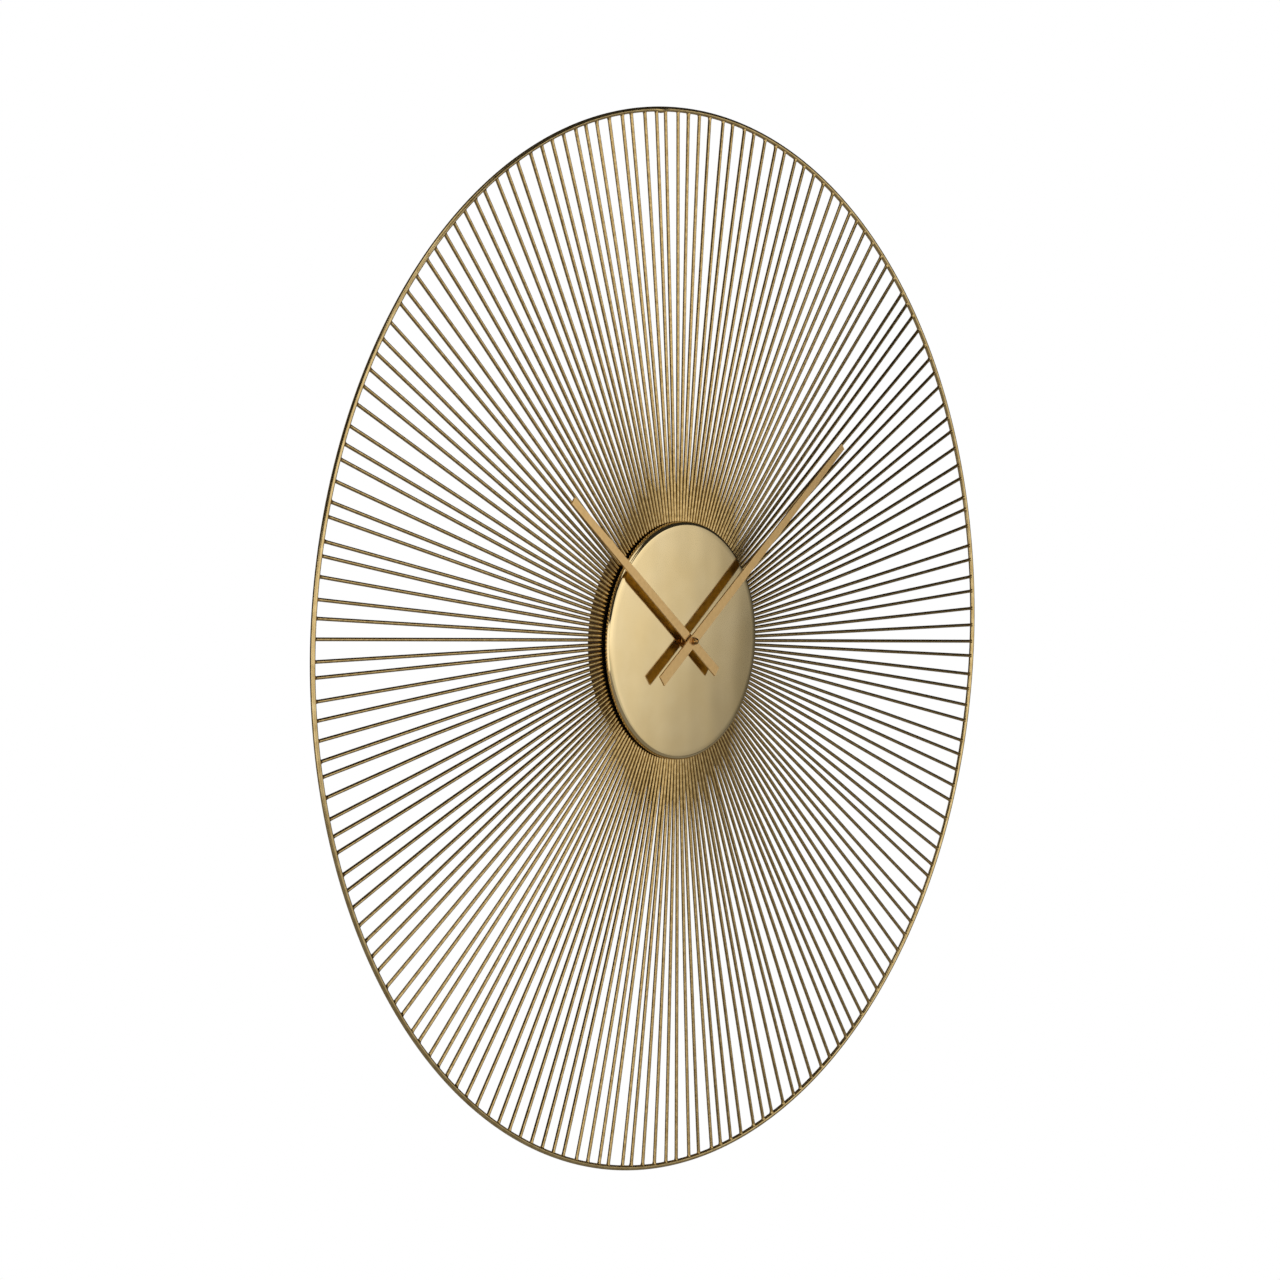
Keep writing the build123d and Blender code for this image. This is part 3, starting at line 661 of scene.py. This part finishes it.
# %% Make the background
light_below = 0.22
light_above = 0.025
world = bpy.data.worlds.new("studio")
bpy.context.scene.world = world
world.use_nodes = True
tree = world.node_tree
backdrop = tree.nodes.new("ShaderNodeBackground")
backdrop.inputs["Color"].default_value = (1, 1, 1, 1)
around = tree.nodes["Background"]
around.inputs["Color"].default_value = (1, 1, 1, 1)
sky = tree.nodes.new("ShaderNodeTexCoord")
sky_parts = tree.nodes.new("ShaderNodeSeparateXYZ")
tree.links.new(sky.outputs["Generated"], sky_parts.inputs["Vector"])
from_floor = tree.nodes.new("ShaderNodeMapRange")
from_floor.interpolation_type = "SMOOTHSTEP"
from_floor.inputs["From Min"].default_value = -0.5
from_floor.inputs["From Max"].default_value = 0.2
from_floor.inputs["To Min"].default_value = light_below
from_floor.inputs["To Max"].default_value = light_above
tree.links.new(sky_parts.outputs["Z"], from_floor.inputs["Value"])
tree.links.new(from_floor.outputs["Result"], around.inputs["Strength"])
seen = tree.nodes.new("ShaderNodeLightPath")
either = tree.nodes.new("ShaderNodeMixShader")
tree.links.new(seen.outputs["Is Camera Ray"], either.inputs["Fac"])
tree.links.new(around.outputs["Background"], either.inputs[1])
tree.links.new(backdrop.outputs["Background"], either.inputs[2])
tree.links.new(either.outputs["Shader"], tree.nodes["World Output"].inputs["Surface"])
print("room light", light_below, "from below and", light_above, "from above")

# %% [markdown]
# ## Floor
#
# The clock hangs, so the floor is a pale round sheet well below it. The floor stays out of
# reflections too, because a bright floor would wash out the dark sides of the wires.

# %% Lay the floor
floor_size = 1.5
floor_z = -1.0
floor_sides = 64
floor_points = []
for side in range(floor_sides):
    turn = 2 * pi * side / floor_sides
    floor_points.append((floor_size * cos(turn), floor_size * sin(turn), floor_z))
floor_mesh = bpy.data.meshes.new("floor")
floor_mesh.from_pydata(floor_points, [], [tuple(range(floor_sides))])
studio_floor = bpy.data.objects.new("floor", floor_mesh)
bpy.context.collection.objects.link(studio_floor)
floor_paint = finish("floor_paint", (0.80, 0.80, 0.79), (0.84, 0.84, 0.83), 0.4, (0.6, 0.8), 0.0)
floor_mesh.materials.append(floor_paint)
studio_floor.visible_glossy = False
bpy.context.scene.view_settings.view_transform = "Standard"
print("floor", 2 * floor_size, "metres across")
